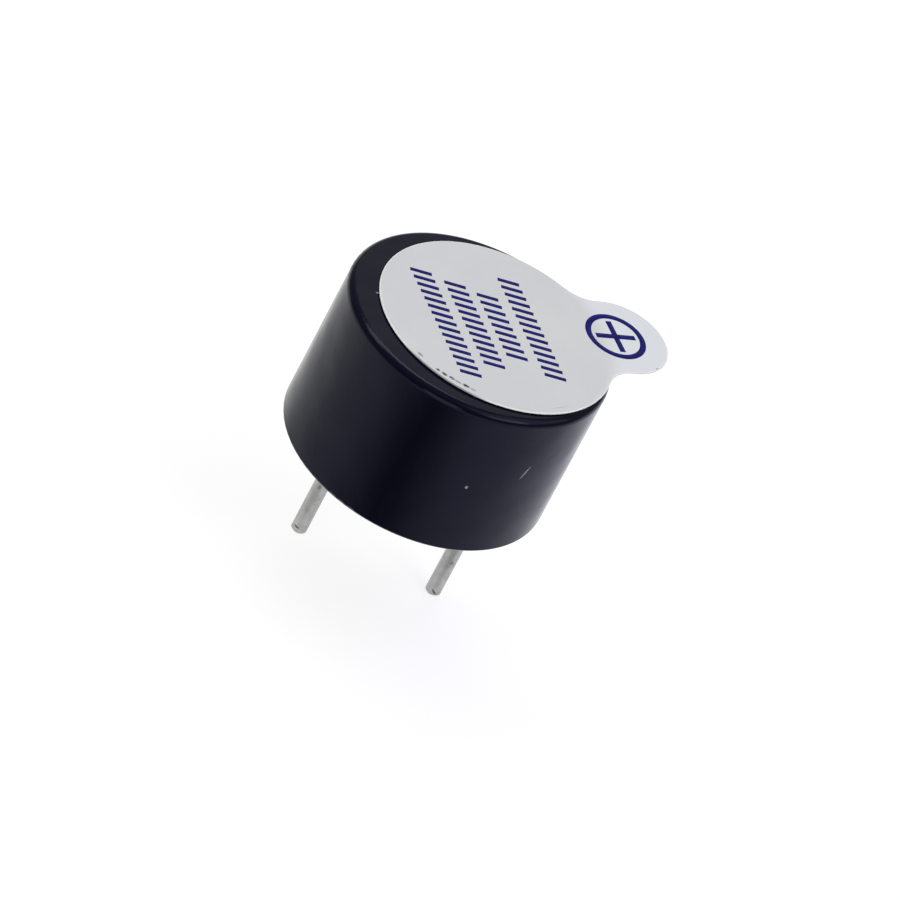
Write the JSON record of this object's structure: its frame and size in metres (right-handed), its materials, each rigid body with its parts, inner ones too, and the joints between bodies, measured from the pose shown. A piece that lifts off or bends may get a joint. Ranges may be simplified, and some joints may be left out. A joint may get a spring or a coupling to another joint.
{
  "type": "active buzzer",
  "caption": "Round glossy black sounder can with wire leads of unequal length below and a pale peel-off seal with a pull tab on top.",
  "frame": {"origin": "middle of the seating plane, on the axis of the case, under its foot ring", "axes": "+Z out of the top of the case, +X towards the plus lead and the seal's tab; the leads point along -Z"},
  "size_m": [0.0149, 0.012, 0.015],
  "materials": {
    "black_moulding": "glossy black moulded plastic",
    "seal_film": "satin pale grey film with adhesive",
    "spring_steel": "cold-rolled strip",
    "soft_iron": "zinc-plated soft iron",
    "grey_moulding": "matte dark grey moulded plastic",
    "magnet": "sintered, dark grey",
    "bobbin_plastic": "natural nylon",
    "enamelled_copper": "enamelled copper wire",
    "solder": "bright solder",
    "board_laminate": "resin-bonded laminate",
    "chip_black": "moulded epoxy",
    "chip_ceramic": "ceramic with metal end caps",
    "tinned_wire": "tin-coated wire",
    "potting": "cured black casting resin"
  },
  "bodies": {
    "root": {"case": "black_moulding", "seal_label": "seal_film", "diaphragm": "spring_steel", "diaphragm_weight": "soft_iron", "support_ring": "grey_moulding", "ring_magnet": "magnet", "coil_bobbin": "bobbin_plastic", "coil_winding": "enamelled_copper", "coil_leads": "enamelled_copper", "coil_lead_solder": "solder", "pole_core": "soft_iron", "yoke_plate": "soft_iron", "circuit_board": "board_laminate", "driver_transistor": "chip_black", "base_resistor": "chip_ceramic", "positive_pin": "tinned_wire", "negative_pin": "tinned_wire", "pin_solder": "solder", "potting_resin": "potting"}
  },
  "joints": []
}
